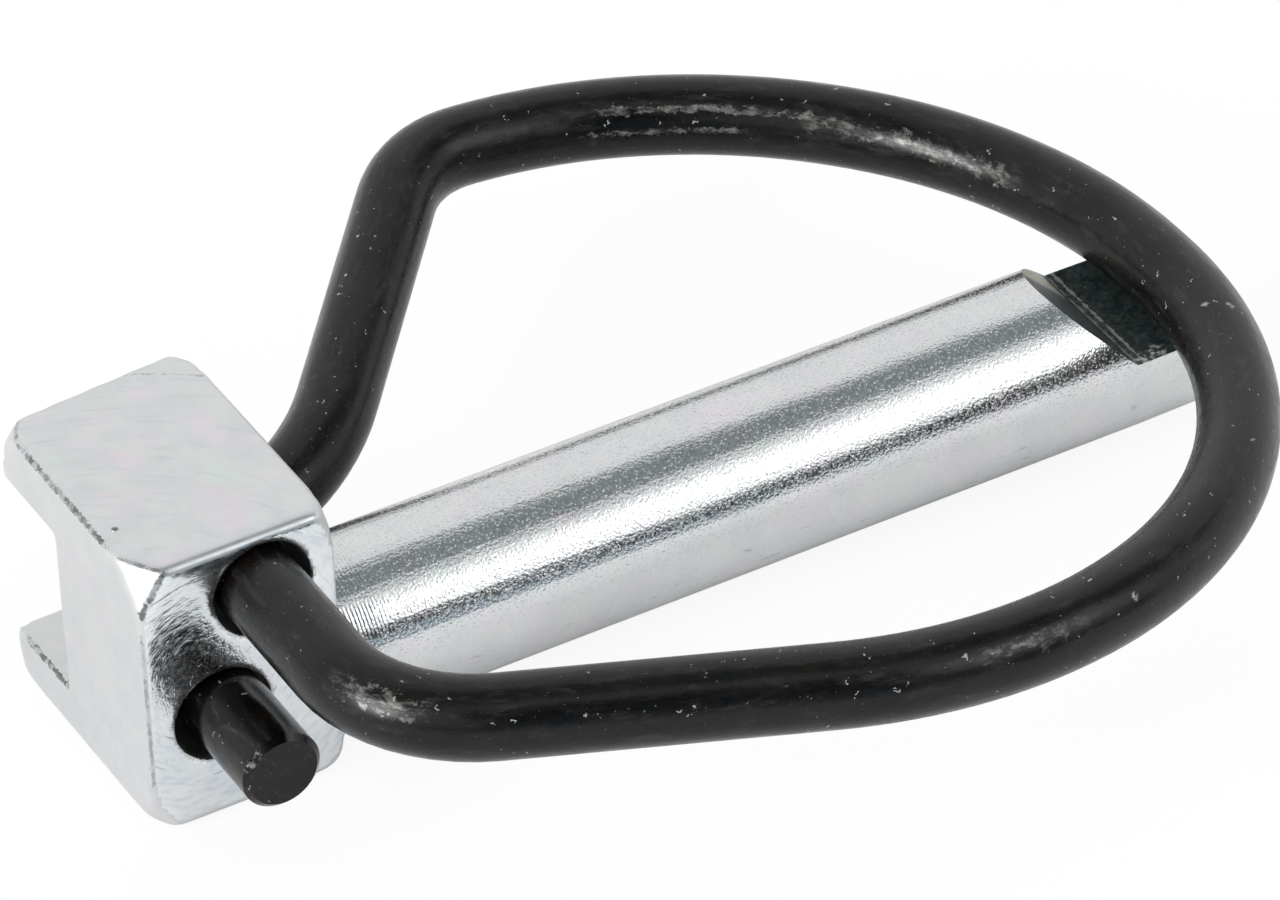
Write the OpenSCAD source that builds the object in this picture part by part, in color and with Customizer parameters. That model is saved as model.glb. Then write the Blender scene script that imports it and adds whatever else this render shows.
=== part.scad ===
// Lynch pin: a steel pin with a square head, and a spring-wire bail that closes over its tip.
// The origin is on the shank's axis at the head's shoulder. +X points to the tip, +Z up,
// and the head's milled groove is on its +Y side.

/* [Shank] */
// Diameter of the round shank
shank_d = 10; // [9:0.5:12]
// Length of the shank from the head's shoulder to its tip
shank_len = 55; // [50:1:80]
// Length of the slightly tapered lead at the shank's tip
tip_taper_len = 5.5; // [5:0.1:7]
// How much thinner the lead is at its end than the shank
tip_taper = 0.14; // [0.1:0.02:1]
// Chamfer round the shank's tip
tip_chamfer = 1; // [0.3:0.1:1.2]
// Length of the seat milled for the bail, from the top of its slope to the tip
seat_len = 10; // [9:0.1:14]
// Depth of the seat below the top of the shank
seat_depth = 3.5; // [2.5:0.1:4]
// Angle between the seat's slope and the shank's axis
seat_slope = 45; // [40:1:70]

/* [Head] */
// Length of the head along the shank's axis
head_len = 11.2; // [10.5:0.1:16]
// Width of the head at its shoulder, across the groove
head_w = 16.4; // [15:0.1:20]
// Height of the head
head_h = 17.1; // [16.8:0.1:21]
// How far the head stands proud of the shank, on its underside and its near side
head_proud = 0.05; // [0.05:0.05:1]
// Draft of the grooved side, which narrows towards the end face
groove_side_draft = 4.4; // [0:0.1:6]
// Diameter of the cone turned on the four corners of the end face, measured at that face
turned_end_d = 20.2; // [19.4:0.1:21.5]
// Diameter of the cone turned on the four corners of the shoulder, measured at that face
turned_shoulder_d = 21.6; // [20.5:0.1:23]
// Rounding of the shoulder's upper edge
shoulder_top_r = 0.3; // [0.2:0.1:2]
// Rounding of the shoulder's lower edge
shoulder_foot_r = 2; // [0.5:0.1:3]
// Rounding of the end face's lower edge
end_foot_r = 1.5; // [0.5:0.1:2.5]
// Rounding of the near side's upper edge
near_top_r = 0.4; // [0.2:0.1:1]
// Rounding of the near side's lower edge
near_foot_r = 1; // [0.2:0.1:1.5]

/* [Groove] */
// Thickness of the web between the near side and the groove's floor
web_t = 9.7; // [9:0.1:11]
// Thickness of the lip under the groove
lower_lip_t = 3.7; // [3:0.1:4.5]
// Thickness of the lip above the groove
upper_lip_t = 3.4; // [3:0.1:4.5]

/* [Cross holes] */
// How much wider the two holes are than the wire
hole_play = 1; // [0.8:0.1:1.2]
// Distance from the end face to the middle of the lower hole
lower_hole_inset = 4.3; // [4:0.1:4.6]
// Height of the lower hole above the groove's lower wall
lower_hole_rise = 3; // [2.5:0.1:3.3]
// Distance from the shoulder back to the middle of the upper hole
upper_hole_back = 4.1; // [3.9:0.1:4.4]
// Depth of the upper hole below the head's top
upper_hole_drop = 3.5; // [3.4:0.1:3.8]

/* [Bail] */
// Diameter of the spring wire
wire_d = 4.5; // [4:0.1:4.8]
// Inside diameter of the round loop
loop_inside_d = 49.4; // [46:0.2:54]
// Distance from the shank's tip back to the middle of the wire on the seat
tip_overlap = 2.6; // [2.3:0.1:3.2]
// Length of the straight stretch where the wire crosses the seat
tip_straight = 1; // [0.5:0.1:3]
// Sideways tilt of the loop, low on the grooved side
loop_roll = 1.7; // [0:0.1:3]
// Distance of the near bend's corner from the head's near side
near_leg_out = 13.6; // [12:0.1:16]
// How far the near bend's corner lies behind its hole
near_leg_lean = 0.5; // [0:0.1:0.8]
// How far the near bend's corner lies above its hole
near_leg_lift = 0.7; // [0:0.1:1]
// Radius of the near bend, at the middle of the wire
near_bend_r = 7.8; // [5:0.1:10]
// Straight stretch between the loop and the far bend
far_straight = 0.5; // [0.2:0.1:4]
// Radius of the far bend, at the middle of the wire
far_bend_r = 6.9; // [5:0.1:12]
// Distance from the shoulder to the corner where the far leg turns out of the groove
groove_bend_ahead = 4.6; // [3:0.1:6]
// Largest radius of that turn, at the middle of the wire
groove_bend_max_r = 17.5; // [8:0.1:17.5]
// How far the wire's lower end lies forward of the middle of its hole
end_forward = 0.3; // [0:0.05:0.3]
// How far the wire's lower end lies above the middle of its hole
end_lift = 0.2; // [0:0.05:0.2]
// How far the wire's lower end stands out of the head's near side
end_out = 6; // [3:0.1:9]
// How far the wire's upper end stops short of the groove
end_inset = 0.6; // [0.2:0.1:3]
// Chamfer on both ends of the wire
end_chamfer = 0.3; // [0.1:0.1:0.8]
// How much thinner the wire is drawn in its bends
bend_thinning = 0.05; // [0.03:0.01:0.15]

/* [Clearances] */
// Gap between the closed bail and its seat
seat_gap = 0.1; // [0.05:0.05:0.3]
// Gap between the wire and the shank, beside the shoulder
shank_gap = 0.6; // [0.5:0.05:0.8]
// Gap between the wire and the groove's floor
floor_gap = 0.3; // [0.15:0.05:0.5]

/* [Hidden] */
$fn = 64;
overcut = 1;

// Head and groove
shank_r = shank_d / 2;
head_near = -(shank_r + head_proud);
head_far = head_near + head_w;
head_bottom = -(shank_r + head_proud);
head_top = head_bottom + head_h;
web_far = head_near + web_t;
groove_bottom = head_bottom + lower_lip_t;
groove_h = head_h - lower_lip_t - upper_lip_t;
end_far = head_far - head_len * tan(groove_side_draft);

// Root of the shank in the head, and the lead at its tip
root_len = shoulder_foot_r;
root_r = shank_r - root_len / 2;
tip_r = shank_r - tip_taper / 2;

// Seat for the bail on the tip
seat_z = shank_r - seat_depth;
seat_top_x = shank_len - seat_len;
seat_foot_x = seat_top_x + seat_depth / tan(seat_slope);
seat_half_w = sqrt(shank_r * shank_r - seat_z * seat_z);

// Cross holes, as [x, z]
hole_d = wire_d + hole_play;
lower_hole = [lower_hole_inset - head_len, groove_bottom + lower_hole_rise];
upper_hole = [-upper_hole_back, head_top - upper_hole_drop];
lower_end = lower_hole + [end_forward, end_lift];

// Round loop, centred over the shank
wire_r = wire_d / 2;
loop_r = (loop_inside_d + wire_d) / 2;
tip_x = shank_len - tip_overlap;
tip_z = seat_z + seat_gap + wire_r + seat_half_w * tan(loop_roll);
loop_x = tip_x - loop_r;

// Near leg: from its bend, in line with the loop
near_bend_xy = [upper_hole[0] - near_leg_lean, head_near - near_leg_out];
near_bend_z = upper_hole[1] + near_leg_lift;
near_centre = [loop_x, -tip_straight / 2];
near_leg_angle = direction(near_centre - near_bend_xy) - asin(loop_r / norm(near_centre - near_bend_xy));
near_corner_xy = [tip_x, near_bend_xy[1] + (tip_x - near_bend_xy[0]) * tan(near_leg_angle)];

// Far leg: straight back along the groove, then out to the loop
floor_run_y = web_far + floor_gap + wire_r;
shank_reach = shank_r + shank_gap + wire_r;
groove_run_y = max(floor_run_y, sqrt(shank_reach * shank_reach - lower_end[1] * lower_end[1]));
hole_bend_r = groove_run_y - web_far - floor_gap / 2;
far_corner_xy = [tip_x, loop_r + tip_straight / 2];
groove_bend_xy = [groove_bend_ahead, groove_run_y];
far_centre = [loop_x - far_straight, far_corner_xy[1] - far_bend_r];
far_to_centre = far_centre - groove_bend_xy;
far_leg_angle = direction(far_to_centre) + asin(far_bend_r / norm(far_to_centre));
far_bend_xy = [far_centre[0] - far_bend_r * tan(far_leg_angle / 2), far_corner_xy[1]];
groove_run_len = groove_bend_ahead - lower_end[0];
straight_min = 0.5;
bend_lap = 0.1;
groove_bend_room = (groove_run_len - hole_bend_r - straight_min) / tan(far_leg_angle / 2);
groove_bend_r = min(groove_bend_max_r, groove_bend_room);

// Slope of the loop's plane, from its near bend down to the tip
loop_fall = (near_bend_z - tip_z + near_bend_xy[1] * tan(loop_roll)) / (near_bend_xy[0] - tip_x);

// The wire's corner points, from its upper end round the loop to its lower end
near_bend = [near_bend_xy[0], near_bend_xy[1], near_bend_z];
upper_mid = [upper_hole[0], (head_near + web_far) / 2, upper_hole[1]];
upper_reach = (web_far - end_inset - near_bend[1]) / (upper_mid[1] - near_bend[1]);
wire_points = [
    near_bend + (upper_mid - near_bend) * upper_reach,
    near_bend,
    on_loop_plane(near_corner_xy),
    on_loop_plane(far_corner_xy),
    on_loop_plane(far_bend_xy),
    [groove_bend_xy[0], groove_run_y, lower_end[1]],
    [lower_end[0], groove_run_y, lower_end[1]],
    [lower_end[0], head_near - end_out, lower_end[1]]
];
wire_radii = [0, near_bend_r, loop_r, loop_r, far_bend_r, groove_bend_r, hole_bend_r, 0];

function unit(v) = v / norm(v);
function direction(v) = atan2(v[1], v[0]);
function on_loop_plane(p) =
    [p[0], p[1], tip_z + (p[0] - tip_x) * loop_fall - p[1] * tan(loop_roll)];

// A placing matrix from an origin and three axes
function placing(o, x, y, z) = [
    [x[0], y[0], z[0], o[0]],
    [x[1], y[1], z[1], o[1]],
    [x[2], y[2], z[2], o[2]],
    [0, 0, 0, 1]
];

// Directions before and after a corner of the wire, and the turn between them
function way_in(i) = unit(wire_points[i] - wire_points[i - 1]);
function way_out(i) = unit(wire_points[i + 1] - wire_points[i]);
function turn(i) = acos(way_in(i) * way_out(i));

// Length that a bend takes from the straight on each side of its corner
function bend_take(i) = wire_radii[i] == 0 ? 0 : wire_radii[i] * tan(turn(i) / 2);
function bend_start(i) = wire_points[i] - way_in(i) * bend_take(i);
function bend_end(i) = wire_points[i] + way_out(i) * bend_take(i);

// A square corner less its quarter circle, for rounding a corner that points to -X and -Y
module corner_waste(r) {
    difference() {
        translate([-overcut, -overcut])
            square(r + overcut);
        translate([r, r])
            circle(r);
    }
}

// Side outline of the head, in X and Z
module head_side() {
    difference() {
        translate([-head_len, head_bottom])
            square([head_len, head_h]);
        translate([-head_len, head_bottom])
            corner_waste(end_foot_r);
        translate([0, head_bottom])
            mirror([1, 0])
                corner_waste(shoulder_foot_r);
        translate([0, head_top])
            rotate(180)
                corner_waste(shoulder_top_r);
    }
}

// Plan of the head, in X and Y, with the draft of its grooved side
module head_plan() {
    polygon([[-head_len, head_near], [0, head_near], [0, head_far], [-head_len, end_far]]);
}

// End view of the head, in Y and Z, with its near edges rounded and the groove cut in
module head_end() {
    difference() {
        translate([head_near, head_bottom])
            square([head_w, head_h]);
        translate([head_near, head_bottom])
            corner_waste(near_foot_r);
        translate([head_near, head_top])
            mirror([0, 1])
                corner_waste(near_top_r);
        translate([web_far, groove_bottom])
            square([head_w, groove_h]);
    }
}

// Cone that takes the corners off a face of the head, widening from that face through the head
module corner_cone(face_x, turn, face_d) {
    translate([face_x, (head_near + head_far) / 2, (head_bottom + head_top) / 2])
        rotate([0, turn, 0])
            cylinder(h = head_len, d1 = face_d, d2 = face_d + 2 * head_len);
}

module cross_hole(at) {
    translate([at[0], head_far + overcut, at[1]])
        rotate([90, 0, 0])
            cylinder(h = head_w + 2 * overcut, d = hole_d);
}

module head() {
    difference() {
        intersection() {
            translate([0, head_far, 0])
                rotate([90, 0, 0])
                    linear_extrude(head_w)
                        head_side();
            translate([0, 0, head_bottom])
                linear_extrude(head_h)
                    head_plan();
            rotate([90, 0, 90])
                translate([0, 0, -head_len])
                    linear_extrude(head_len)
                        head_end();
            corner_cone(-head_len, 90, turned_end_d);
            corner_cone(0, -90, turned_shoulder_d);
        }
        cross_hole(upper_hole);
        cross_hole(lower_hole);
    }
}

// Round shank, turned with a tapered lead at its tip and a tapered root behind the rounded shoulder
module shank() {
    difference() {
        rotate([0, 90, 0])
            rotate_extrude()
                polygon([
                    [0, -root_len],
                    [root_r, -root_len],
                    [shank_r, 0],
                    [shank_r, shank_len - tip_taper_len],
                    [tip_r, shank_len - tip_chamfer],
                    [tip_r - tip_chamfer, shank_len],
                    [0, shank_len]
                ]);
        seat_cut();
    }
}

// Waste above the seat: a slope, then the flat out past the tip
module seat_cut() {
    rise = (shank_r + overcut - seat_z) / tan(seat_slope);
    translate([0, shank_r + overcut, 0])
        rotate([90, 0, 0])
            linear_extrude(shank_d + 2 * overcut)
                polygon([
                    [seat_foot_x, seat_z],
                    [shank_len + overcut, seat_z],
                    [shank_len + overcut, shank_r + overcut],
                    [seat_foot_x - rise, shank_r + overcut]
                ]);
}

module pin_body() {
    color("silver")
        union() {
            head();
            shank();
        }
}

// A straight stretch of wire, which laps a little over the bend at each end
module straight(from, to) {
    along = unit(to - from);
    wire_rod(from - along * bend_lap, along, norm(to - from) + 2 * bend_lap);
}

// An end of the wire: straight from its last bend to a chamfered tip
module wire_end(from, tip) {
    along = unit(tip - from);
    reach = norm(tip - from) + bend_lap;
    wire_rod(from - along * bend_lap, along, reach, end_chamfer);
}

// A round rod of wire along a direction, with a chamfer at its far end
module wire_rod(from, along, reach, chamfer = 0) {
    side = unit(cross(along, [0, 0, 1]));
    multmatrix(placing(from, side, cross(along, side), along)) {
        cylinder(h = reach - chamfer, d = wire_d);
        if (chamfer > 0)
            translate([0, 0, reach - chamfer])
                cylinder(h = chamfer, d1 = wire_d, d2 = wire_d - 2 * chamfer);
    }
}

// A bend of the wire at one of its corners, drawn a little thinner than the straight wire
module bend(i) {
    start = bend_start(i);
    axis = unit(cross(way_in(i), way_out(i)));
    inward = cross(axis, way_in(i));
    centre = start + inward * wire_radii[i];
    multmatrix(placing(centre, -inward, way_in(i), axis))
        rotate_extrude(angle = turn(i))
            translate([wire_radii[i], 0])
                circle(d = wire_d - bend_thinning);
}

module wire_bail() {
    last = len(wire_points) - 1;
    color("dimgray")
        union() {
            wire_end(bend_start(1), wire_points[0]);
            for (i = [1 : last - 1])
                bend(i);
            for (i = [1 : last - 2])
                straight(bend_end(i), bend_start(i + 1));
            wire_end(bend_end(last - 1), wire_points[last]);
        }
}

pin_body();
wire_bail();
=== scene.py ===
# Looks of the lynch pin: a zinc-plated pin with a grooved head, and its black spring-wire bail.
import math

import bpy
from mathutils import Matrix, Vector
from mathutils.kdtree import KDTree


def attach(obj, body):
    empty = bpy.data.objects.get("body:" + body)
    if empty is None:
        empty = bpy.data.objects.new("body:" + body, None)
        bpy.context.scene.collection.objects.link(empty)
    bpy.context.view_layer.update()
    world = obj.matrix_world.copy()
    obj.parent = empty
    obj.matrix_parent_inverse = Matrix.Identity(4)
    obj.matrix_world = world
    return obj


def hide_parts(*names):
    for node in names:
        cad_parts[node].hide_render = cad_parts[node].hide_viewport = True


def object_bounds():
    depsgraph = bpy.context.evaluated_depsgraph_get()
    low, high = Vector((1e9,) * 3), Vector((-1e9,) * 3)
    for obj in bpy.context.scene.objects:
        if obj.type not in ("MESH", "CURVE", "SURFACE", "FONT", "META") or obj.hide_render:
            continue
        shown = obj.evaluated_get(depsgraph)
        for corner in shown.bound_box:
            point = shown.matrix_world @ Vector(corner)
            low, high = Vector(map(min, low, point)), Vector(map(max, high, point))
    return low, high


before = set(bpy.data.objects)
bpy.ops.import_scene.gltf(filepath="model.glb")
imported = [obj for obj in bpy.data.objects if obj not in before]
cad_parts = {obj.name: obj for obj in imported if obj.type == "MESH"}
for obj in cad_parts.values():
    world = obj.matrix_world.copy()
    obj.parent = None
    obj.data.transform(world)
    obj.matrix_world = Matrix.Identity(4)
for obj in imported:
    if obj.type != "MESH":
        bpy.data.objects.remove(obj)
cad_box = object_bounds()
bpy.ops.object.select_all(action="DESELECT")

MM = 0.001

# Axes by number, and the parts of a place on the wire as it was before bending
X, Y, Z = range(3)
ACROSS = (0, 1)
ALONG = 2

# Sizes of the pin, in mm, as in the part's source
SHANK_R = 5.0
SHANK_LEN = 55.0
SEAT_DEPTH = 3.5
SEAT_LEN = 10.0
HEAD_PROUD = 0.05
HEAD_LEN = 11.2
HEAD_W = 16.4
HEAD_H = 17.1
WEB_T = 9.7
LOWER_LIP_T = 3.7
TURNED_END_R = 10.1
LOWER_HOLE_INSET = 4.3
LOWER_HOLE_RISE = 3.0
UPPER_HOLE_BACK = 4.1
UPPER_HOLE_DROP = 3.5

# Sizes of the wire, in mm, as in the part's source
WIRE_R = 2.25
LOOP_INSIDE_D = 49.4
LOOP_ROLL_DEG = 1.7
TIP_OVERLAP = 2.6
TIP_STRAIGHT = 1.0
NEAR_LEG_OUT = 13.6
NEAR_LEG_LEAN = 0.5
NEAR_LEG_LIFT = 0.7
NEAR_BEND_R = 7.8
FAR_STRAIGHT = 0.5
FAR_BEND_R = 6.9
GROOVE_BEND_AHEAD = 4.6
GROOVE_BEND_MAX_R = 17.5
STRAIGHT_MIN = 0.5
END_FORWARD = 0.3
END_LIFT = 0.2
END_OUT = 6.0
END_INSET = 0.6
END_CHAMFER = 0.3
SEAT_GAP = 0.1
SHANK_GAP = 0.6
FLOOR_GAP = 0.3

# Radius of the drawn skin, in mm, a little less than the wire's so that it stays inside the thinner bends
SKIN_R = 2.22

# Places on the pin and the wire, in mm
HEAD_NEAR = -(SHANK_R + HEAD_PROUD)
HEAD_BOTTOM = -(SHANK_R + HEAD_PROUD)
HEAD_TOP = HEAD_BOTTOM + HEAD_H
HEAD_FAR = HEAD_NEAR + HEAD_W
HEAD_MIDDLE = ((HEAD_NEAR + HEAD_FAR) / 2, (HEAD_BOTTOM + HEAD_TOP) / 2)
WEB_FAR = HEAD_NEAR + WEB_T
LIP_TOP = HEAD_BOTTOM + LOWER_LIP_T
SEAT_Z = SHANK_R - SEAT_DEPTH
SEAT_TOP_X = SHANK_LEN - SEAT_LEN
SEAT_FOOT_X = SEAT_TOP_X + SEAT_DEPTH
LOWER_HOLE = (LOWER_HOLE_INSET - HEAD_LEN, LIP_TOP + LOWER_HOLE_RISE)
UPPER_HOLE = (-UPPER_HOLE_BACK, HEAD_TOP - UPPER_HOLE_DROP)
LOOP_R = (LOOP_INSIDE_D + 2 * WIRE_R) / 2
LOOP_ROLL = math.tan(math.radians(LOOP_ROLL_DEG))

# The wire's mesh: sides of its ring, length of a step in mm, and the fewest steps round a bend
WIRE_SIDES = 40
WIRE_STEP = 1.0
BEND_STEPS = 10
WIRE_SMOOTH = math.radians(35)

# The head's mesh: its grain in mm, and the passes that wear its edges and its turned corners round
HEAD_GRAIN = 0.17
EDGE_WEAR = 2
CORNER_WEAR = 14
WEAR_SHARE = 0.5
PIN_SMOOTH = math.radians(30)

# How far from the head's middle line the worn corners begin, in mm, at the end face and at the shoulder
END_CORNER_FROM = 9.4
SHOULDER_CORNER_FROM = 10.2

# How far the worn edges lie from the sharp ones, in mm
EDGE_LOSS = 0.14

# Where the shank is cut from the head, and how far its root stands in the head, in mm
SHOULDER_CUT = 0.01
ROOT_IN_HEAD = 0.5

# Tolerances in m, for cuts, for merging points and for finding the ring at an end of the wire
CUT_TOLERANCE = 1e-7
WIRE_MERGE = 1e-7
SOLID_MERGE = 2e-6
RING_TOLERANCE = 1e-5
RING_MARGIN = 1.02
FLAT_ANGLE = math.radians(0.3)

# How the pin's faces are told apart: by depths in mm, and by the lean of their normals
SKIN_DEPTH = 0.05
FACE_DEPTH = 0.2
SHANK_OUT = 4.2
SHANK_LEAN = 0.5
SEAT_UP = 0.6
SEAT_LEAN = 0.3
FLAT_LEAN = 0.95

# Centres of the cutter's sweeps over the top and near sides, and the marks on the top, in mm
TOP_SWEEP = (-16.0, -11.0)
TOP_SCRATCH = (-2.0, 9.7)
TOP_SCRATCH_ENDS = (7.6, 11.0)
TOP_PIT = (-10.1, -0.6)
NEAR_SWEEP = (-7.4, 4.1)

# The burrs: where they run on the end face and up the near corner, in mm, and how dark they are
BURRS_END_Y = (-1.6, 9.4)
BURRS_FROM_Z = 0.0
BURR_STRENGTH = 0.85

# The shank's turning rings fade between these places, and its nicks below these heights, in mm
RINGS_FADE = (0.5, 4.5)
NICKS_FADE = (-1.5, 0.5)

# The seat, in mm: how far its ridge lies from the slope's foot, and its chips' middles, reach and softness
SEAT_RIDGE = 0.45
SEAT_CHIPS = (
    ((SEAT_FOOT_X + 0.5, -4.5), 0.3, 0.7),
    ((SEAT_FOOT_X + 1.5, -4.2), 0.2, 0.6),
)

# Worn places on the wire: middle, reach and softness in mm, and how bare the rubbing left it
SCUFFS = (
    ((50.9, -7.5, 6.5), 0.0, 0.5, 0.2),
    ((51.9, -8.4, 6.5), 0.0, 0.6, 0.22),
    ((33.6, -28.1, 7.8), 0.0, 0.5, 0.2),
    ((-7.9, -11.0, 3.6), 0.0, 0.45, 0.18),
    ((-8.3, -11.0, 3.2), 0.1, 0.5, 0.22),
    ((-8.6, -11.0, 2.6), 0.0, 0.5, 0.2),
    ((-8.7, -11.0, 1.6), 0.0, 0.4, 0.16),
)

# Rows along the loop, partly rubbed bare and partly painted highlights: place across the wire, ends along it
# and width, in mm, and how pale they are
RUBBED_ROWS_AND_PAINTED_HIGHLIGHTS = (
    ((-1.62, 1.53), (117.5, 131.0), 0.22, 0.6),
    ((-2.18, 0.45), (123.5, 131.5), 0.2, 0.6),
    ((-1.82, 1.22), (106.0, 118.0), 0.5, 0.45),
    ((1.7, 1.45), (52.0, 56.0), 0.4, 0.4),
    ((1.6, 1.58), (20.2, 22.8), 0.6, 0.6),
)

# Where along the wire its glossier stub begins, and how far the change takes, in mm
STUB_FROM = 180.0
STUB_FADE = 2.0

# Colours of the zinc: its cloudy greys by face, lightened on the near side as painted light and darkened on
# the plain faces as painted shade, its bloom, and its marks
ZINC_GREYS = ((0.645, 0.66, 0.67), (0.695, 0.705, 0.71))
PLAIN_GREYS_PAINTED_SHADE = ((0.605, 0.62, 0.63), (0.65, 0.66, 0.665))
NEAR_GREYS_PAINTED_LIGHT = ((0.73, 0.77, 0.8), (0.81, 0.835, 0.85))
BLOOM_PINK = (0.74, 0.68, 0.72)
BLOOM_GREEN = (0.66, 0.725, 0.68)
BURR_GREY = (0.1, 0.103, 0.106)
PIT_GREY = (0.4, 0.4, 0.39)
RING_GREY = (0.3, 0.32, 0.33)
FLAKE_BLUE = (0.4, 0.46, 0.51)
SHANK_NICK = (0.12, 0.12, 0.12)
TOP_LINE = (0.46, 0.46, 0.51)
TOP_NICK = (0.3, 0.3, 0.3)
SCRATCH_GREY = (0.25, 0.25, 0.26)
TOP_PIT_BROWN = (0.1, 0.095, 0.08)
FIBRE_BLUE = (0.5, 0.57, 0.63)
SCORE_GREY = (0.24, 0.26, 0.28)

# Colours of the seat: blackened, rubbed on its slope, pale where it is chipped and at the slope's far end
SEAT_BLACKS = ((0.014, 0.022, 0.022), (0.066, 0.09, 0.088))
SLOPE_GREY = (0.13, 0.15, 0.15)
CHIP_PALE = (0.55, 0.57, 0.54)
SLOPE_TAN = (0.5, 0.5, 0.39)

# Colours of the wire: its blacks, the smears on them and the bare steel under them, which also paints
# highlights on rows along the loop
WIRE_BLACKS = ((0.0012, 0.0015, 0.002), (0.0048, 0.0037, 0.003))
SMEAR_GREY = (0.0165, 0.0145, 0.0132)
BARE_STEEL_AND_PAINTED_HIGHLIGHT = (0.42, 0.41, 0.39)
WIRE_SPECULAR = 0.28

# The camera: its lens and sensor in mm, its axes, and its place and clip distances in m
LENS = 253.34
SENSOR = 36.0
CAMERA_RIGHT = Vector((0.867274, -0.496798, -0.032052))
CAMERA_UP = Vector((0.325057, 0.516345, 0.792291))
CAMERA_BACK = Vector((-0.377059, -0.697552, 0.609301))
CAMERA_PLACE = Vector((-0.157685, -0.329838, 0.292237))
CAMERA_CLIP = (0.01, 50.0)

# The white room: the strength of the light it gives, and of what is seen of it
ROOM_LIGHT = 0.95
ROOM_SEEN = 1.0

# The floor: its size in m, its drop below the part in mm, its grey, and its glow when mirrored and when seen
FLOOR_SIZE = 6.0
FLOOR_DROP = 0.02
FLOOR_GREY = (0.84, 0.84, 0.84)
FLOOR_MIRRORED = 0.05
FLOOR_SEEN = 0.9

# Lamps: size and place in m, and power in W, all aimed at one place
SOFT_LAMPS = (
    ("front_softbox", (0.8, 0.46), (0.62, -0.72, 0.66), 1.8),
    ("left_softbox", (0.46, 0.5), (-1.0, -0.16, 0.46), 9.4),
)
LAMP_AIM = (0.02, 0, 0)

# Dark cards: size and place in m, tilt, and the light that is mirrored from them
DARK_CARDS = (
    ("overhead_card", (4.0, 0.62), (0.4, -0.04, 1.0), 0, (0.25, 0.28, 0.29)),
    ("front_strip", (4.0, 0.31), (0.4, -1.0, 0.165), math.pi / 2, (0.25, 0.34, 0.4)),
    ("back_strip", (4.0, 0.06), (0.4, 1.0, 0.13), math.pi / 2, (0.34, 0.36, 0.37)),
    ("camera_side", (0.7, 0.8), (-0.05, -0.9, 0.65), math.radians(55), (0.05, 0.085, 0.11)),
)


def wire_route():
    """The wire's corner points from its upper end to its lower one, and each bend's radius, in mm."""
    end_x = LOWER_HOLE[0] + END_FORWARD
    end_z = LOWER_HOLE[1] + END_LIFT
    tip_x = SHANK_LEN - TIP_OVERLAP
    seat_half_w = math.sqrt(SHANK_R ** 2 - SEAT_Z ** 2)
    tip_z = SEAT_Z + SEAT_GAP + WIRE_R + seat_half_w * LOOP_ROLL
    loop_x = tip_x - LOOP_R
    # Near leg, from its bend to the loop
    near = Vector((UPPER_HOLE[0] - NEAR_LEG_LEAN, HEAD_NEAR - NEAR_LEG_OUT, UPPER_HOLE[1] + NEAR_LEG_LIFT))
    to_loop = Vector((loop_x, -TIP_STRAIGHT / 2)) - near.xy
    near_angle = math.atan2(to_loop.y, to_loop.x) - math.asin(LOOP_R / to_loop.length)
    near_corner_y = near.y + (tip_x - near.x) * math.tan(near_angle)
    # Far leg, from the groove to its bend
    shank_reach = SHANK_R + SHANK_GAP + WIRE_R
    run_y = max(WEB_FAR + FLOOR_GAP + WIRE_R, math.sqrt(shank_reach ** 2 - end_z ** 2))
    hole_bend_r = run_y - WEB_FAR - FLOOR_GAP / 2
    far_y = LOOP_R + TIP_STRAIGHT / 2
    far_centre = Vector((loop_x - FAR_STRAIGHT, far_y - FAR_BEND_R))
    to_far = far_centre - Vector((GROOVE_BEND_AHEAD, run_y))
    far_angle = math.atan2(to_far.y, to_far.x) + math.asin(FAR_BEND_R / to_far.length)
    far_x = far_centre.x - FAR_BEND_R * math.tan(far_angle / 2)
    bend_room = (GROOVE_BEND_AHEAD - end_x - hole_bend_r - STRAIGHT_MIN) / math.tan(far_angle / 2)
    groove_bend_r = min(GROOVE_BEND_MAX_R, bend_room)
    fall = (near.z - tip_z + near.y * LOOP_ROLL) / (near.x - tip_x)

    def on_loop(x, y):
        return Vector((x, y, tip_z + (x - tip_x) * fall - y * LOOP_ROLL))

    in_hole = Vector((UPPER_HOLE[0], (HEAD_NEAR + WEB_FAR) / 2, UPPER_HOLE[1]))
    upper_reach = (WEB_FAR - END_INSET - near.y) / (in_hole.y - near.y)
    points = [
        near + (in_hole - near) * upper_reach,
        near,
        on_loop(tip_x, near_corner_y),
        on_loop(tip_x, far_y),
        on_loop(far_x, far_y),
        Vector((GROOVE_BEND_AHEAD, run_y, end_z)),
        Vector((end_x, run_y, end_z)),
        Vector((end_x, HEAD_NEAR - END_OUT, end_z)),
    ]
    radii = [0, NEAR_BEND_R, LOOP_R, LOOP_R, FAR_BEND_R, groove_bend_r, hole_bend_r, 0]
    return points, radii


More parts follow.
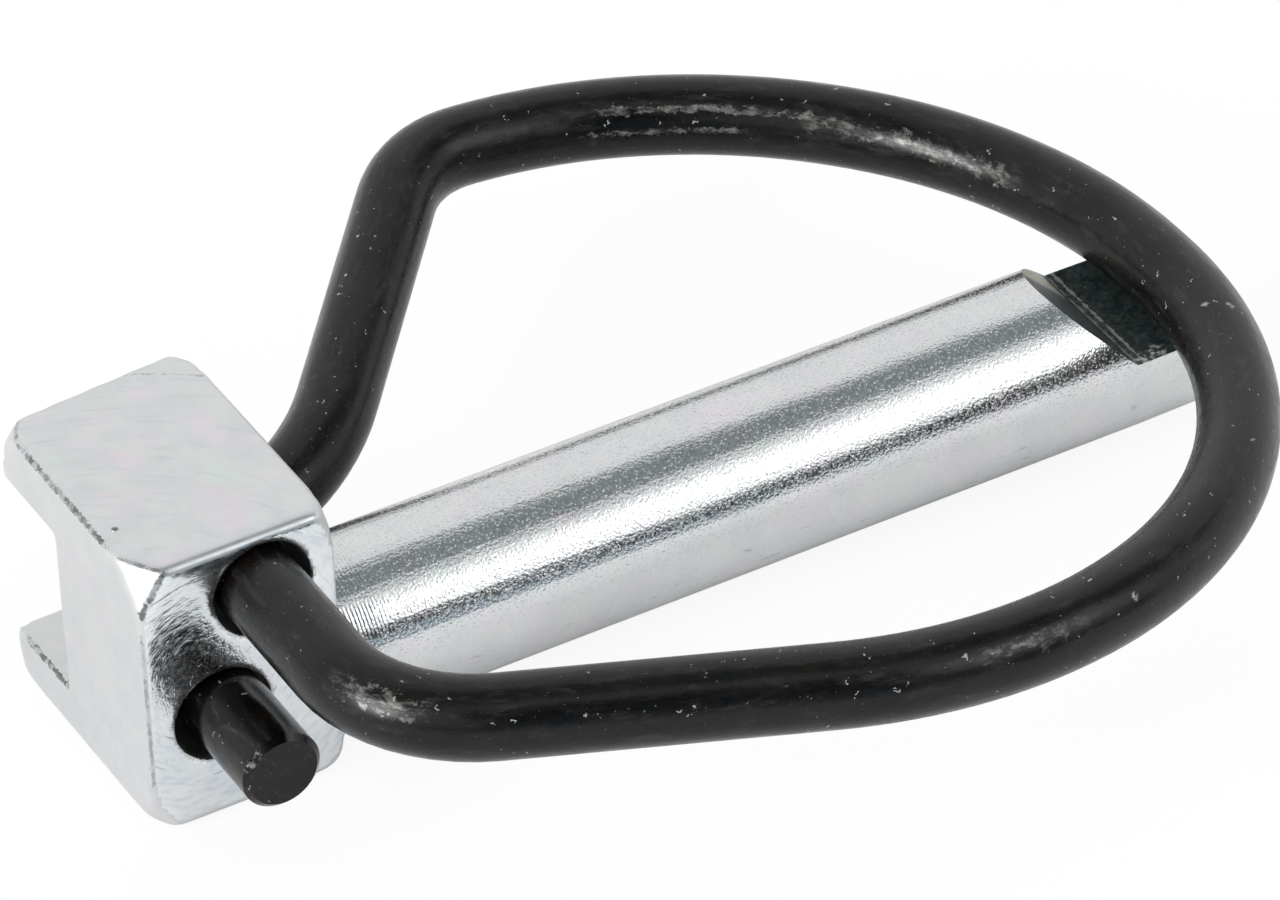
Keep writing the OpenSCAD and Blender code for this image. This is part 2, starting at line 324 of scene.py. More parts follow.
def draw_wire():
    """The wire as one rod: a ring is extruded along each straight and spun round each bend."""
    points, radii = wire_route()
    points = [p * MM for p in points]
    radii = [r * MM for r in radii]
    chamfer = END_CHAMFER * MM
    first_way = (points[1] - points[0]).normalized()
    turn = first_way.to_track_quat("Z", "Y").to_euler()
    bpy.ops.mesh.primitive_circle_add(vertices=WIRE_SIDES, radius=SKIN_R * MM, fill_type="NOTHING",
                                      location=points[0] + first_way * chamfer, rotation=turn)
    wire = bpy.context.object
    wire.name = "spring_wire"
    bpy.ops.object.transform_apply(location=True, rotation=True, scale=True)
    bpy.ops.object.mode_set(mode="EDIT")
    bpy.ops.mesh.select_mode(type="EDGE")
    bpy.ops.mesh.select_all(action="SELECT")
    place = points[0] + first_way * chamfer
    spine = [(points[0], first_way)]

    def run_to(target):
        way = (target - place).normalized()
        count = max(1, round((target - place).length / (WIRE_STEP * MM)))
        for i in range(count):
            bpy.ops.mesh.extrude_region_move(TRANSFORM_OT_translate={"value": (target - place) / count})
            spine.append((place + (target - place) * (i + 1) / count, way))

    for i in range(1, len(points) - 1):
        way_in = (points[i] - points[i - 1]).normalized()
        way_out = (points[i + 1] - points[i]).normalized()
        angle = way_in.angle(way_out)
        take = radii[i] * math.tan(angle / 2)
        start = points[i] - way_in * take
        run_to(start)
        axis = way_in.cross(way_out).normalized()
        centre = start + axis.cross(way_in) * radii[i]
        steps = max(BEND_STEPS, round(radii[i] * angle / (WIRE_STEP * MM)))
        # The operator turns against the axis, so the angle is negative
        bpy.ops.mesh.spin(steps=steps, angle=-angle, center=centre, axis=axis)
        for step in range(1, steps + 1):
            turned = Matrix.Rotation(angle * step / steps, 3, axis)
            spine.append((centre + turned @ (start - centre), turned @ way_in))
        place = points[i] + way_out * take
    last_way = (points[-1] - points[-2]).normalized()
    run_to(points[-1] - last_way * chamfer)
    spine.append((points[-1], last_way))
    bpy.ops.object.mode_set(mode="OBJECT")
    close_end(wire, points[0], first_way * -1, chamfer)
    close_end(wire, points[-1], last_way, chamfer)
    bpy.ops.object.mode_set(mode="EDIT")
    bpy.ops.mesh.select_all(action="SELECT")
    bpy.ops.mesh.remove_doubles(threshold=WIRE_MERGE)
    bpy.ops.mesh.normals_make_consistent(inside=False)
    bpy.ops.object.mode_set(mode="OBJECT")
    bpy.ops.object.shade_smooth_by_angle(angle=WIRE_SMOOTH)
    straighten_pattern(wire, spine)
    return wire


def straighten_pattern(wire, spine):
    """Stores each point's place on the wire as it was before bending, in mm: sideways, up and along."""
    tree = KDTree(len(spine))
    along = [0.0]
    for i, (place, _) in enumerate(spine):
        tree.insert(place, i)
        if i:
            along.append(along[-1] + (place - spine[i - 1][0]).length)
    tree.balance()
    pattern = wire.data.attributes.new("drawn", "FLOAT_VECTOR", "POINT")
    for v in wire.data.vertices:
        i = tree.find(v.co)[1]
        place, way = spine[i]
        side = way.cross(Vector((0, 0, 1))).normalized()
        up = side.cross(way)
        off = v.co - place
        straight = Vector((off.dot(side), off.dot(up), along[i] + off.dot(way)))
        pattern.data[v.index].vector = straight / MM


def close_end(wire, tip, way, chamfer):
    """Chamfers and closes the open ring at one end of the wire."""
    ring = tip - way * chamfer
    for v in wire.data.vertices:
        off = v.co - ring
        v.select = off.length < WIRE_R * MM * RING_MARGIN and abs(off.dot(way)) < RING_TOLERANCE
    bpy.ops.object.mode_set(mode="EDIT")
    bpy.ops.mesh.select_mode(type="VERT")
    bpy.ops.mesh.select_mode(type="EDGE")
    bpy.ops.mesh.extrude_region_move(TRANSFORM_OT_translate={"value": way * chamfer})
    size = (SKIN_R - END_CHAMFER) / SKIN_R
    bpy.ops.transform.resize(value=(size, size, size), center_override=tip)
    bpy.ops.mesh.edge_face_add()
    bpy.ops.object.mode_set(mode="OBJECT")


def copy_of_pin(name):
    """A merged copy of the pin's solid, active, with all of it selected in edit mode."""
    piece = bpy.data.objects.new(name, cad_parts["pin_body"].data.copy())
    bpy.context.scene.collection.objects.link(piece)
    bpy.ops.object.select_all(action="DESELECT")
    piece.select_set(True)
    bpy.context.view_layer.objects.active = piece
    bpy.ops.mesh.customdata_custom_splitnormals_clear()
    bpy.ops.object.mode_set(mode="EDIT")
    bpy.ops.mesh.select_all(action="SELECT")
    bpy.ops.mesh.remove_doubles(threshold=SOLID_MERGE)
    bpy.ops.mesh.dissolve_limited(angle_limit=FLAT_ANGLE)
    bpy.ops.mesh.select_all(action="SELECT")
    return piece


def cut_at_shoulder(**waste):
    """Cuts the copy at the shoulder, clears the side that is waste and closes the cut."""
    bpy.ops.mesh.bisect(plane_co=(SHOULDER_CUT * MM, 0, 0), plane_no=(1, 0, 0), threshold=CUT_TOLERANCE,
                        use_fill=True, **waste)


def turn_shank():
    """The shank from its shoulder to its tip, with a short root to stand in the head."""
    shank = copy_of_pin("turned_shank")
    cut_at_shoulder(clear_inner=True)
    bpy.ops.mesh.extrude_region_move(TRANSFORM_OT_translate={"value": (-ROOT_IN_HEAD * MM, 0, 0)})
    bpy.ops.object.mode_set(mode="OBJECT")
    return shank


def wear_head():
    """The head's block, cut into a fine even mesh and worn round at its edges and turned corners."""
    head = copy_of_pin("machined_pin")
    cut_at_shoulder(clear_outer=True)
    bpy.ops.object.mode_set(mode="OBJECT")
    grain = head.modifiers.new("grain", "REMESH")
    grain.mode = "VOXEL"
    grain.voxel_size = HEAD_GRAIN * MM
    bpy.ops.object.modifier_apply(modifier=grain.name)
    smooth_picked(head, lambda p: True, EDGE_WEAR)
    smooth_picked(head, by_turned_corner, CORNER_WEAR)
    return head


def smooth_picked(piece, test, passes):
    """Smooths the points of a mesh whose place, in mm, passes a test."""
    mesh = piece.data
    for group in (mesh.edges, mesh.polygons):
        group.foreach_set("select", [False] * len(group))
    for v in mesh.vertices:
        v.select = test(v.co / MM)
    bpy.ops.object.mode_set(mode="EDIT")
    bpy.ops.mesh.select_mode(type="VERT")
    bpy.ops.mesh.vertices_smooth(factor=WEAR_SHARE, repeat=passes)
    bpy.ops.object.mode_set(mode="OBJECT")


def by_turned_corner(p):
    """True for a place by the turned corners of the head."""
    off_axis = math.hypot(p.y - HEAD_MIDDLE[0], p.z - HEAD_MIDDLE[1])
    from_end = p.x + HEAD_LEN
    if from_end < HEAD_LEN / 2:
        return off_axis > END_CORNER_FROM
    return off_axis > SHOULDER_CORNER_FROM


def machine_pin():
    """The pin: the worn head and the turned shank, made one."""
    shank = turn_shank()
    head = wear_head()
    weld = head.modifiers.new("weld", "BOOLEAN")
    weld.operation = "UNION"
    weld.solver = "EXACT"
    weld.object = shank
    bpy.ops.object.modifier_apply(modifier=weld.name)
    bpy.data.objects.remove(shank)
    bpy.ops.object.shade_smooth_by_angle(angle=PIN_SMOOTH)
    return head


class Finish:
    """A procedural finish: a principled shader, with its pattern in mm on the piece or along the wire."""

    # Numbers of the Mix node's colour sockets
    MIX_FACTOR = 0
    MIX_A = 6
    MIX_B = 7
    MIX_RESULT = 2

    def __init__(self, name, metallic=0.0):
        self.material = bpy.data.materials.new(name)
        self.material.use_nodes = True
        self.tree = self.material.node_tree
        self.shader = self.tree.nodes["Principled BSDF"]
        self.shader.inputs["Metallic"].default_value = metallic
        place = self.tree.nodes.new("ShaderNodeTexCoord")
        to_mm = self.tree.nodes.new("ShaderNodeMapping")
        to_mm.inputs["Scale"].default_value = (1 / MM, 1 / MM, 1 / MM)
        self.tree.links.new(place.outputs["Object"], to_mm.inputs["Vector"])
        self.mm = to_mm.outputs["Vector"]

    def node(self, kind, inputs=None, **settings):
        """A new node, with its settings made and its inputs linked or set."""
        made = self.tree.nodes.new("ShaderNode" + kind)
        for name, value in settings.items():
            setattr(made, name, value)
        for name, value in (inputs or {}).items():
            self.feed(made.inputs[name], value)
        return made

    def feed(self, socket, value):
        """Links a node's output to a socket, or sets the socket to a plain value."""
        if isinstance(value, bpy.types.NodeSocket):
            self.tree.links.new(value, socket)
        else:
            socket.default_value = value

    def math(self, operation, a, b=0.0):
        return self.node("Math", {0: a, 1: b}, operation=operation).outputs[0]

    def times(self, *factors):
        """The product of masks and shares."""
        total = factors[0]
        for factor in factors[1:]:
            total = self.math("MULTIPLY", total, factor)
        return total

    def most(self, *masks):
        """The strongest of several masks."""
        total = masks[0]
        for mask in masks[1:]:
            total = self.math("MAXIMUM", total, mask)
        return total

    def apart(self, a, b):
        """How far apart two values are."""
        return self.math("ABSOLUTE", self.math("SUBTRACT", a, b))

    def stretched(self, scale, shift=(0, 0, 0), turn=(0, 0, 0), where=None):
        """Coordinates that are scaled, shifted and turned."""
        inputs = {"Vector": where or self.mm, "Scale": scale, "Location": shift, "Rotation": turn}
        return self.node("Mapping", inputs).outputs[0]

    def noise(self, scale, detail=3.0, rough=0.55, where=None):
        inputs = {"Vector": where or self.mm, "Scale": scale, "Detail": detail, "Roughness": rough}
        return self.node("TexNoise", inputs).outputs["Fac"]

    def specks(self, scale, rarity, reach, where=None):
        """1 on scattered specks: the share of places that have none, and how far the largest one reaches."""
        cell = self.node("TexVoronoi", {"Vector": where or self.mm, "Scale": scale})
        chance = self.node("SeparateColor", {"Color": cell.outputs["Color"]}).outputs["Red"]
        return self.math("LESS_THAN", cell.outputs["Distance"], self.ramp(chance, rarity, 1.0, 0.0, reach))

    def ramp(self, value, low, high, to_low=0.0, to_high=1.0, smooth=True):
        kind = "SMOOTHSTEP" if smooth else "LINEAR"
        inputs = {"Value": value, "From Min": low, "From Max": high, "To Min": to_low, "To Max": to_high}
        return self.node("MapRange", inputs, interpolation_type=kind).outputs["Result"]

    def mix(self, factor, a, b):
        """One colour laid over another by a factor."""
        made = self.node("Mix", data_type="RGBA")
        self.feed(made.inputs[self.MIX_FACTOR], factor)
        for index, colour in ((self.MIX_A, a), (self.MIX_B, b)):
            self.feed(made.inputs[index], (*colour, 1.0) if isinstance(colour, tuple) else colour)
        return made.outputs[self.MIX_RESULT]

    def split(self, where=None):
        parts = self.node("SeparateXYZ", {"Vector": where or self.mm})
        return parts.outputs["X"], parts.outputs["Y"], parts.outputs["Z"]

    def near_point(self, point, reach, soft):
        """1 near a point given in mm, falling to 0 beyond its reach."""
        gap = self.node("VectorMath", {0: self.mm, 1: point}, operation="DISTANCE").outputs["Value"]
        return self.ramp(gap, reach, reach + soft, 1.0, 0.0)

    def edge_gap(self, axes, place, where=None):
        """Distance in mm from an edge that runs along the third axis through a place on the other two."""
        parts = self.split(where)
        a = self.math("SUBTRACT", parts[axes[0]], place[0])
        b = self.math("SUBTRACT", parts[axes[1]], place[1])
        return self.math("SQRT", self.math("ADD", self.times(a, a), self.times(b, b)))

    def within(self, axis, low, high, soft, where=None):
        """1 between two places on an axis, falling to 0 beyond them."""
        place = self.split(where)[axis]
        above = self.ramp(place, low - soft, low)
        return self.times(above, self.ramp(place, high, high + soft, 1.0, 0.0))

    def swept(self, axes, centre, across, along):
        """Coordinates for marks that sweep round a centre: fine across the sweep, long along it."""
        parts = self.split()
        a = self.math("SUBTRACT", parts[axes[0]], centre[0])
        b = self.math("SUBTRACT", parts[axes[1]], centre[1])
        reach = self.times(self.edge_gap(axes, centre), across)
        swing = self.times(self.math("ARCTAN2", b, a), along)
        return self.node("CombineXYZ", {"X": reach, "Y": swing}).outputs[0]

    def ragged(self, gap, width, grain, loss=EDGE_LOSS):
        """1 on a line of uneven width, given the distance from its middle."""
        blots = self.noise(grain, 4, 0.7)
        waver = self.ramp(blots, 0.32, 0.68, -width - loss, width - loss, smooth=False)
        return self.ramp(self.math("ADD", gap, waver), width * 0.55, width, 1.0, 0.0)

    def bump(self, height, distance_mm, under=None):
        """A bumpy normal of a height in mm, over another one where given."""
        inputs = {"Height": height, "Distance": distance_mm * MM}
        if under is not None:
            inputs["Normal"] = under
        return self.node("Bump", inputs).outputs["Normal"]

    def colour(self, value):
        self.feed(self.shader.inputs["Base Color"], value)

    def metal(self, value):
        self.feed(self.shader.inputs["Metallic"], value)

    def roughness(self, value):
        self.feed(self.shader.inputs["Roughness"], value)

    def surface(self, value):
        self.feed(self.shader.inputs["Normal"], value)


def zinc_colour(f, tint, greys=ZINC_GREYS):
    """Light grey zinc, cloudy, with a faint pink and green bloom."""
    clouds = f.noise(0.5, 4, 0.6)
    grey = f.mix(f.ramp(clouds, 0.3, 0.7), *greys)
    pink = f.mix(f.ramp(f.noise(0.33, 2), 0.5, 0.72, 0.0, tint), grey, BLOOM_PINK)
    bloom = f.noise(0.41, 2, where=f.stretched((1, 1, 1), (7, 3, 5)))
    return f.mix(f.ramp(bloom, 0.52, 0.74, 0.0, tint), pink, BLOOM_GREEN)


def corner_gap(f):
    """Distance in mm from the cone turned on the corners of the end face."""
    cone_r = f.math("ADD", f.split()[X], HEAD_LEN + TURNED_END_R)
    return f.apart(f.edge_gap((Y, Z), HEAD_MIDDLE), cone_r)


def burr_mask(f):
    """1 on the ragged burrs along the head's cut edges."""
    near_gap = f.apart(f.split()[Y], HEAD_NEAR)
    top_gap = f.apart(f.split()[Z], HEAD_TOP)
    lip_gap = f.apart(f.split()[Z], LIP_TOP)
    cone = corner_gap(f)
    on_end = f.within(Y, *BURRS_END_Y, 0.5)
    on_lip = f.within(Y, WEB_FAR, BURRS_END_Y[1], 0.3)
    upper = f.within(Z, BURRS_FROM_Z, HEAD_TOP, 0.5)
    end_top = f.times(f.ragged(f.edge_gap((X, Z), (-HEAD_LEN, HEAD_TOP)), 0.13, 3.4), on_end)
    end_near = f.times(f.ragged(f.edge_gap((X, Y), (-HEAD_LEN, HEAD_NEAR)), 0.05, 3.0), 0.6)
    lip_end = f.times(f.ragged(f.edge_gap((X, Z), (-HEAD_LEN, LIP_TOP)), 0.1, 2.0), on_lip)
    cone_top = f.times(f.ragged(f.most(cone, top_gap), 0.08, 2.8), 0.7)
    cone_near = f.times(f.ragged(f.most(cone, near_gap), 0.15, 2.8), upper)
    cone_lip = f.ragged(f.most(cone, lip_gap), 0.1, 2.0)
    uneven = f.ramp(f.noise(1.7, 3), 0.36, 0.58, 0.3, 1.0)
    return f.times(f.most(end_top, end_near, lip_end, cone_top, cone_near, cone_lip), uneven)


def burred(f, colour):
    """A colour darkened along the ragged edges."""
    return f.mix(f.times(burr_mask(f), BURR_STRENGTH), colour, BURR_GREY)


def plain_zinc():
    """Zinc on faces with no tool marks: the end, holes, groove, cones and underside, on greys that are
    darkened as painted shade.
    """
    f = Finish("plain_zinc", 1.0)
    grain = f.noise(4.5, 3)
    pits = f.ramp(f.noise(2.6, 4, 0.7), 0.66, 0.74)
    # The plain faces' greys are darker than the rest of the zinc: painted shade.
    base = zinc_colour(f, 0.25, PLAIN_GREYS_PAINTED_SHADE)
    grey = f.mix(f.times(pits, 0.22), base, PIT_GREY)
    f.colour(burred(f, grey))
    f.roughness(f.ramp(f.noise(2.2, 4), 0.3, 0.7, 0.34, 0.42))
    f.surface(f.bump(grain, 0.004))
    return f.material


def turned_zinc():
    """Zinc on the shank: crystal flakes all over, and turning rings near the shoulder."""
    f = Finish("turned_zinc", 1.0)
    flakes = f.noise(6.6, 1, 0.5)
    rings = f.node("TexWave", {"Vector": f.stretched((1, 0.02, 0.02)), "Scale": 1.5, "Distortion": 1.0,
                               "Detail": 2.0, "Detail Scale": 2.0}, bands_direction="X").outputs["Fac"]
    turned = f.times(rings, f.ramp(f.split()[X], *RINGS_FADE, 1.0, 0.06))
    scored = f.ramp(f.noise(1.0, 4, 0.7, f.stretched((0.5, 2.6, 2.6), turn=(0, 0, 0.5))), 0.635, 0.68)
    low_side = f.ramp(f.split()[Z], *NICKS_FADE, 1.0, 0.0)
    nicks = f.times(scored, low_side, 0.7)
    base = zinc_colour(f, 0.55)
    grey = f.mix(f.times(turned, 0.35), base, RING_GREY)
    speckled = f.mix(f.ramp(flakes, 0.36, 0.5, 0.16, 0.0), grey, FLAKE_BLUE)
    f.colour(f.mix(nicks, speckled, SHANK_NICK))
    f.roughness(f.ramp(flakes, 0.3, 0.72, 0.11, 0.24))
    skin = f.bump(flakes, 0.016)
    sparks = f.ramp(f.noise(7.5, 0), 0.62, 0.76)
    skin = f.bump(sparks, 0.008, under=skin)
    f.surface(f.bump(turned, 0.015, under=skin))
    return f.material


def brushed_zinc():
    """Zinc on the head's top: satin, with faint lines swept across it, a long scratch and a small pit."""
    f = Finish("brushed_zinc", 1.0)
    lines = f.noise(1.0, 3, 0.55, f.swept((X, Y), TOP_SWEEP, 1.9, 5.0))
    fine = f.noise(1.0, 3, 0.5, f.swept((X, Y), TOP_SWEEP, 2.8, 5.0))
    grey = f.mix(f.ramp(fine, 0.3, 0.46, 0.22, 0.0), zinc_colour(f, 0.75), TOP_LINE)
    nicks = f.ramp(f.noise(2.4, 5, 0.75), 0.665, 0.71, 0.0, 0.4)
    grey = f.mix(nicks, grey, TOP_NICK)
    sweep_r = math.hypot(TOP_SCRATCH[0] - TOP_SWEEP[0], TOP_SCRATCH[1] - TOP_SWEEP[1])
    off_line = f.apart(f.edge_gap((X, Y), TOP_SWEEP), sweep_r)
    broken = f.ramp(f.noise(1.6, 3), 0.42, 0.56)
    scratch = f.times(f.ragged(off_line, 0.07, 3.0, 0.0), broken, f.within(Y, *TOP_SCRATCH_ENDS, 0.8))
    grey = f.mix(f.times(scratch, 0.5), grey, SCRATCH_GREY)
    pit = f.near_point((*TOP_PIT, HEAD_TOP), 0.1, 0.12)
    grey = f.mix(f.times(pit, 0.85), grey, TOP_PIT_BROWN)
    f.colour(burred(f, grey))
    f.roughness(f.ramp(lines, 0.3, 0.7, 0.36, 0.44))
    skin = f.bump(lines, 0.001)
    f.surface(f.bump(pit, 0.1, under=skin))
    return f.material


def milled_zinc():
    """Zinc on the near side: fibrous marks swept round by the cutter, glossy enough to mirror the wire, on
    greys that are lightened as painted light.
    """
    f = Finish("milled_zinc", 1.0)
    fibres = f.noise(1.0, 2, 0.6, f.swept((X, Z), NEAR_SWEEP, 3.4, 7.0))
    lines = f.noise(1.0, 3, 0.6, f.swept((X, Z), NEAR_SWEEP, 2.6, 1.6))
    scored = f.ramp(lines, 0.62, 0.68)
    # The near side's greys are lighter than the rest of the zinc: painted light, making up for the shade that
    # this side mirrors.
    base = zinc_colour(f, 0.2, NEAR_GREYS_PAINTED_LIGHT)
    grey = f.mix(f.ramp(fibres, 0.36, 0.54, 0.4, 0.0), base, FIBRE_BLUE)
    grey = f.mix(f.times(scored, 0.4), grey, SCORE_GREY)
    f.colour(burred(f, grey))
    f.roughness(f.ramp(fibres, 0.3, 0.7, 0.13, 0.27))
    skin = f.bump(fibres, 0.028)
    f.surface(f.bump(scored, 0.012, under=skin))
    return f.material


def seat_skin():
    """The milled seat: blackened and rough, pale along the slope's foot and at the slope's far end."""
    f = Finish("seat_skin", 0.3)
    grain = f.noise(3.0, 5, 0.7)
    dark = f.mix(f.ramp(grain, 0.35, 0.7), *SEAT_BLACKS)
    foot_gap = f.edge_gap((X, Z), (SEAT_FOOT_X, SEAT_Z))
    foot = f.times(f.ragged(foot_gap, 0.12, 2.2, 0.0), 0.3)
    ridge_gap = f.edge_gap((X, Z), (SEAT_FOOT_X + SEAT_RIDGE, SEAT_Z))
    ridge = f.times(f.ragged(ridge_gap, 0.09, 2.2, 0.0), 0.5)
    chipped = f.most(*(f.near_point((*place, SEAT_Z), reach, soft) for place, reach, soft in SEAT_CHIPS))
    chips = f.times(chipped, f.ramp(f.noise(2.6, 4, 0.7), 0.5, 0.56))
    pale = f.most(f.times(f.specks(1.3, 0.5, 0.12), 0.6), foot, ridge, chips)
    on_slope = f.ramp(f.split()[X], SEAT_FOOT_X - 0.5, SEAT_FOOT_X - 0.2, 1.0, 0.0)
    rubbed = f.mix(f.times(on_slope, f.ramp(grain, 0.3, 0.7, 0.2, 0.6)), dark, SLOPE_GREY)
    skin = f.mix(pale, rubbed, CHIP_PALE)
    far_end = f.ramp(f.math("ADD", f.split()[Y], grain), 2.0, 3.0)
    f.colour(f.mix(f.times(on_slope, far_end, 0.8), skin, SLOPE_TAN))
    f.roughness(f.ramp(grain, 0.3, 0.7, 0.3, 0.5))
    f.surface(f.bump(grain, 0.03))
    return f.material


def black_wire():
    """Black finish on the spring wire: semi-gloss, grained lengthways, specked, and scuffed to bare steel,
    with painted highlights in pale rows along the loop.
    """
    f = Finish("black_wire")
    f.shader.inputs["Specular IOR Level"].default_value = WIRE_SPECULAR
    drawn = f.node("Attribute", attribute_name="drawn").outputs["Vector"]
    grain = f.noise(2.6, 5, 0.65, f.stretched((1, 1, 0.45), where=drawn))
    dark = f.mix(f.ramp(f.noise(0.35, 3), 0.35, 0.65), *WIRE_BLACKS)
    smear = f.noise(1.0, 5, 0.7, f.stretched((1.5, 1.5, 0.4), where=drawn))
    dark = f.mix(f.ramp(smear, 0.52, 0.7), dark, SMEAR_GREY)
    push = f.node("TexNoise", {"Vector": drawn, "Scale": 3.0}).outputs["Color"]
    uneven = f.node("VectorMath", {0: drawn, 1: push}, operation="ADD").outputs["Vector"]
    specks = f.specks(2.0, 0.72, 0.19, uneven)
    dust = f.ramp(f.noise(4.2, 3, 0.7, drawn), 0.67, 0.74, 0.0, 0.22)
    wear_and_highlights = wire_wear_and_highlights(f, drawn)
    # The pale steel is real wear in the dust, specks and chips, and painted highlight on the rows.
    pale_share = f.most(dust, f.times(specks, 0.6), f.times(wear_and_highlights, 0.8))
    f.colour(f.mix(pale_share, dark, BARE_STEEL_AND_PAINTED_HIGHLIGHT))
    f.metal(f.times(wear_and_highlights, 0.7))
    gloss = f.ramp(f.split(drawn)[ALONG], STUB_FROM, STUB_FROM + STUB_FADE, 1.0, 0.5)
    satin = f.math("ADD", f.ramp(grain, 0.3, 0.7, 0.1, 0.2), f.ramp(smear, 0.34, 0.66, 0.05, 0.17))
    f.roughness(f.times(satin, gloss))
    f.surface(f.bump(grain, 0.018))
    return f.material


def wire_wear_and_highlights(f, drawn):
    """1 where the wire is flaked by knocks, and on rows along it that are partly rubbed bare and partly
    painted highlights.
    """
    flaked = f.noise(3.4, 4, 0.7, drawn)
    streaks = f.noise(1.0, 5, 0.75, f.stretched((2.4, 2.4, 1.2), where=drawn))
    broken = f.ramp(streaks, 0.42, 0.7)
    marks = []
    for place, reach, soft, pale_share in SCUFFS:
        near = f.near_point(place, reach, soft)
        worn = f.ramp(f.math("ADD", flaked, f.times(near, pale_share)), 0.62, 0.72)
        marks.append(f.times(near, worn))
    # Each row lays pale steel where the lamps' highlights fall on the loop: a painted highlight over real
    # rubbing.
    for across, ends, width, pale_share in RUBBED_ROWS_AND_PAINTED_HIGHLIGHTS:
        row = f.ragged(f.edge_gap(ACROSS, across, drawn), width, 1.4, 0.0)
        marks.append(f.times(row, pale_share, broken, f.within(ALONG, *ends, 1.5, drawn)))
    return f.most(*marks)


def dress_pin(pin):
    """Gives each face of the pin the finish that was left on it by its tool."""
    pin.data.materials.clear()
    for material in (plain_zinc(), turned_zinc(), brushed_zinc(), milled_zinc(), seat_skin()):
        pin.data.materials.append(material)
    plain, turned, brushed, milled, seat = range(5)
    for face in pin.data.polygons:
        n = face.normal
        x, y, z = face.center / MM
        kind = plain
        on_shank = x > -SKIN_DEPTH and abs(n.x) < SHANK_LEAN and y * n.y + z * n.z > SHANK_OUT
        by_seat = x > SEAT_TOP_X - FACE_DEPTH and z < SHANK_R - SKIN_DEPTH
        if by_seat and n.z > SEAT_UP and abs(n.y) < SEAT_LEAN:
            kind = seat
        elif on_shank:
            kind = turned
        elif n.z > FLAT_LEAN and z > HEAD_TOP - FACE_DEPTH:
            kind = brushed
        elif n.y < -FLAT_LEAN and y < HEAD_NEAR + FACE_DEPTH:
            kind = milled
        face.material_index = kind


def look_from_photo():
    """The camera, at the photograph's angle."""
    data = bpy.data.cameras.new("photo_camera")
    data.sensor_fit = "HORIZONTAL"
    data.sensor_width = SENSOR
    data.lens = LENS
    data.clip_start, data.clip_end = CAMERA_CLIP
    camera = bpy.data.objects.new("photo_camera", data)
    bpy.context.scene.collection.objects.link(camera)
    stand = Matrix((CAMERA_RIGHT, CAMERA_UP, CAMERA_BACK)).transposed().to_4x4()
    stand.translation = CAMERA_PLACE
    camera.matrix_world = stand
    bpy.context.scene.camera = camera


def background_rays(tree):
    """1 for the rays that should see a plain white background."""
    path = tree.nodes.new("ShaderNodeLightPath")
    total = path.outputs["Is Camera Ray"]
    for name in ("Is Glossy Ray", "Is Transmission Ray"):
        both = tree.nodes.new("ShaderNodeMath")
        both.operation = "MAXIMUM"
        tree.links.new(total, both.inputs[0])
        tree.links.new(path.outputs[name], both.inputs[1])
        total = both.outputs[0]
    return total


def white_room():
    """A white world for what is seen and mirrored, and a softer one for the light it gives."""
    world = bpy.data.worlds.new("white_room")
    bpy.context.scene.world = world
    world.use_nodes = True
    tree = world.node_tree
    ground = tree.nodes["Background"]
    strength = tree.nodes.new("ShaderNodeMapRange")
    strength.inputs["To Min"].default_value = ROOM_LIGHT
    strength.inputs["To Max"].default_value = ROOM_SEEN
    tree.links.new(background_rays(tree), strength.inputs["Value"])
    ground.inputs["Color"].default_value = (1, 1, 1, 1)
    tree.links.new(strength.outputs["Result"], ground.inputs["Strength"])


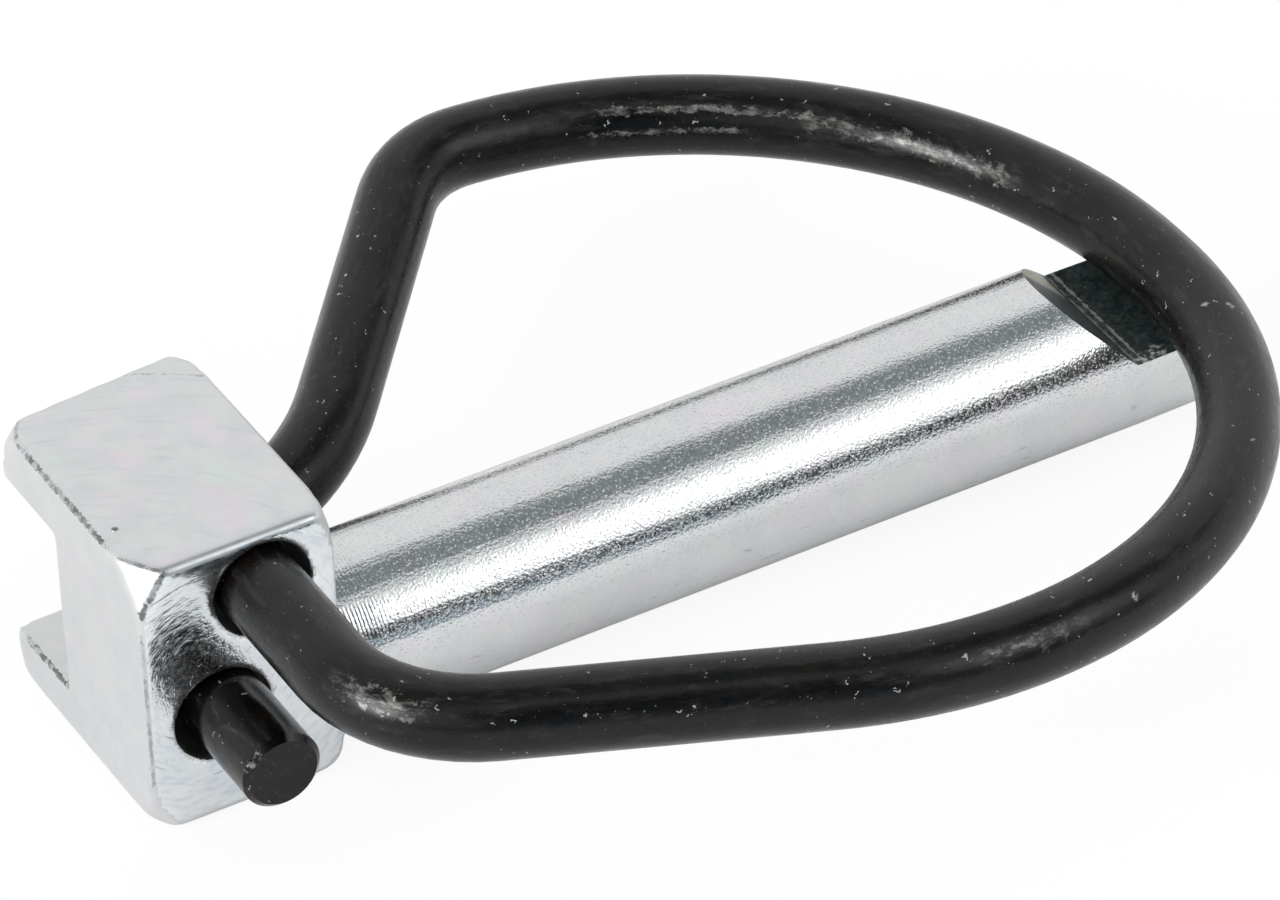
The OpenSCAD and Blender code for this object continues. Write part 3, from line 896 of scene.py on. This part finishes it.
def pale_floor():
    """The floor that the pin lies on: white to look at, with the pin's soft shadow."""
    low = min(corner[Z] for corner in cad_box)
    bpy.ops.mesh.primitive_plane_add(size=FLOOR_SIZE, location=(0, 0, low - FLOOR_DROP * MM))
    floor = bpy.context.object
    floor.name = "pale_floor"
    bpy.ops.object.transform_apply(location=True, rotation=True, scale=True)
    material = bpy.data.materials.new("pale_floor")
    material.use_nodes = True
    tree = material.node_tree
    tree.nodes.remove(tree.nodes["Principled BSDF"])
    matt = tree.nodes.new("ShaderNodeBsdfDiffuse")
    matt.inputs["Color"].default_value = (*FLOOR_GREY, 1)
    glow = tree.nodes.new("ShaderNodeEmission")
    blend = tree.nodes.new("ShaderNodeMixShader")
    seen = tree.nodes.new("ShaderNodeLightPath")
    share = tree.nodes.new("ShaderNodeMapRange")
    share.inputs["To Min"].default_value = FLOOR_MIRRORED
    share.inputs["To Max"].default_value = FLOOR_SEEN
    both = tree.nodes.new("ShaderNodeMath")
    both.operation = "MULTIPLY"
    tree.links.new(seen.outputs["Is Camera Ray"], share.inputs["Value"])
    tree.links.new(share.outputs["Result"], both.inputs[0])
    tree.links.new(background_rays(tree), both.inputs[1])
    tree.links.new(both.outputs[0], blend.inputs["Fac"])
    tree.links.new(matt.outputs[0], blend.inputs[1])
    tree.links.new(glow.outputs[0], blend.inputs[2])
    tree.links.new(blend.outputs[0], tree.nodes["Material Output"].inputs["Surface"])
    floor.data.materials.append(material)


def dark_card(name, size, place, tilt, grey):
    """A dark card that shows only in the metal's reflections."""
    bpy.ops.mesh.primitive_plane_add(size=1.0, location=place, rotation=(tilt, 0, 0))
    card = bpy.context.object
    card.name = name
    card.scale = (*size, 1)
    bpy.ops.object.transform_apply(location=True, rotation=True, scale=True)
    material = bpy.data.materials.new(name)
    material.use_nodes = True
    shader = material.node_tree.nodes["Principled BSDF"]
    shader.inputs["Base Color"].default_value = (0.0, 0.0, 0.0, 1)
    shader.inputs["Specular IOR Level"].default_value = 0.0
    shader.inputs["Emission Color"].default_value = (*grey, 1)
    shader.inputs["Emission Strength"].default_value = 1.0
    card.data.materials.append(material)
    card.visible_camera = False
    card.visible_diffuse = False
    card.visible_shadow = False


def soft_lamp(name, size, place, power):
    """A rectangular lamp that is turned to the part."""
    data = bpy.data.lights.new(name, "AREA")
    data.shape = "RECTANGLE"
    data.size, data.size_y = size
    data.energy = power
    lamp = bpy.data.objects.new(name, data)
    bpy.context.scene.collection.objects.link(lamp)
    lamp.location = place
    lamp.rotation_euler = (Vector(LAMP_AIM) - Vector(place)).to_track_quat("-Z", "Y").to_euler()


look_from_photo()
white_room()
pale_floor()
for lamp_setting in SOFT_LAMPS:
    soft_lamp(*lamp_setting)
for card_setting in DARK_CARDS:
    dark_card(*card_setting)

pin = machine_pin()
dress_pin(pin)
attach(pin, "pin")
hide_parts("pin_body")

wire = draw_wire()
wire.data.materials.append(black_wire())
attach(wire, "bail")
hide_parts("wire_bail")

bpy.context.scene.view_settings.view_transform = "Standard"
